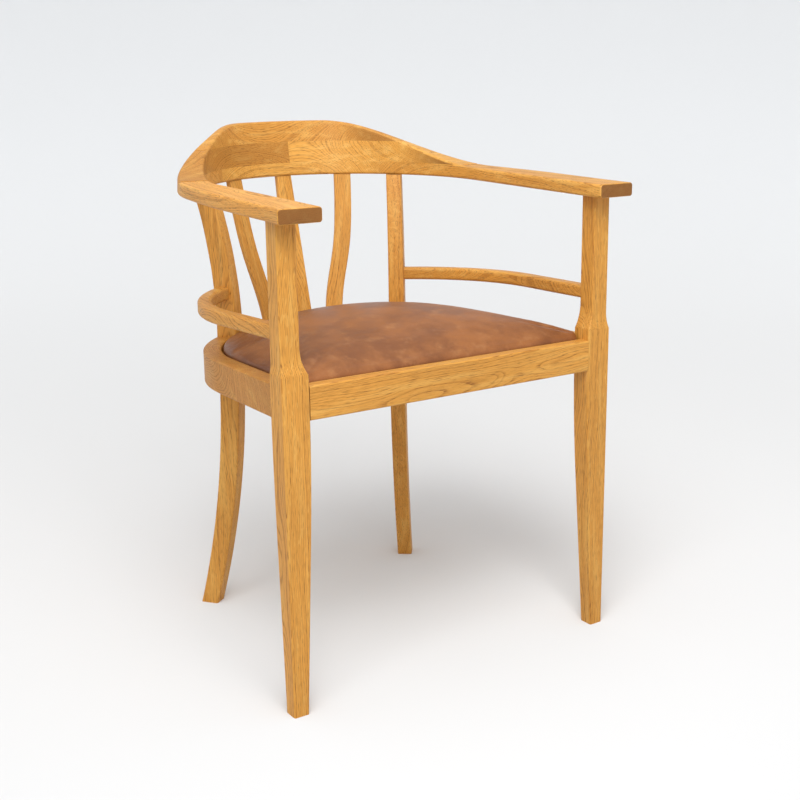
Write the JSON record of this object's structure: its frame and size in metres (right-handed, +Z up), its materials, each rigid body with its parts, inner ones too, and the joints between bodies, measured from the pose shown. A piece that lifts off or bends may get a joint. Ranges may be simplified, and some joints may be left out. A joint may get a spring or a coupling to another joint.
{
  "type": "captains chair",
  "caption": "Solid oak captains chair with a laminated bow that forms back and arms, curved slats, square tapered front legs, sabre back legs and a brown leather drop-in seat.",
  "frame": {"origin": "on the floor under the middle of the chair's outline", "axes": "+Z up, the front faces -Y, X across the chair; left and right are as seen from the front"},
  "size_m": [0.5676, 0.5478, 0.7515],
  "materials": {
    "oak": "oiled solid oak, open grain, soft sheen",
    "leather": "brown aniline leather, fine grain, soft sheen",
    "foam": "firm upholstery foam",
    "plywood": "birch plywood, sanded",
    "block_wood": "planed oak offcuts, unfinished",
    "dowel_wood": "beech dowel",
    "steel": "zinc-plated wood screws"
  },
  "bodies": {
    "root": {"arm_left": "oak", "arm_right": "oak", "bow_back": "oak", "crest_middle_left": "oak", "crest_middle_right": "oak", "crest_top": "oak", "bow_dowels": "dowel_wood", "front_leg_left": "oak", "front_leg_right": "oak", "back_leg_left": "oak", "back_leg_right": "oak", "front_rail": "oak", "side_rail_left": "oak", "side_rail_right": "oak", "back_rail": "oak", "arm_stretcher_left": "oak", "arm_stretcher_right": "oak", "slat_left": "oak", "slat_centre": "oak", "slat_right": "oak", "seat_leather": "leather", "seat_foam": "foam", "seat_board": "plywood", "corner_block_front_left": "block_wood", "corner_block_front_right": "block_wood", "corner_block_back_left": "block_wood", "corner_block_back_right": "block_wood", "seat_screws": "steel", "block_screws": "steel"}
  },
  "joints": []
}
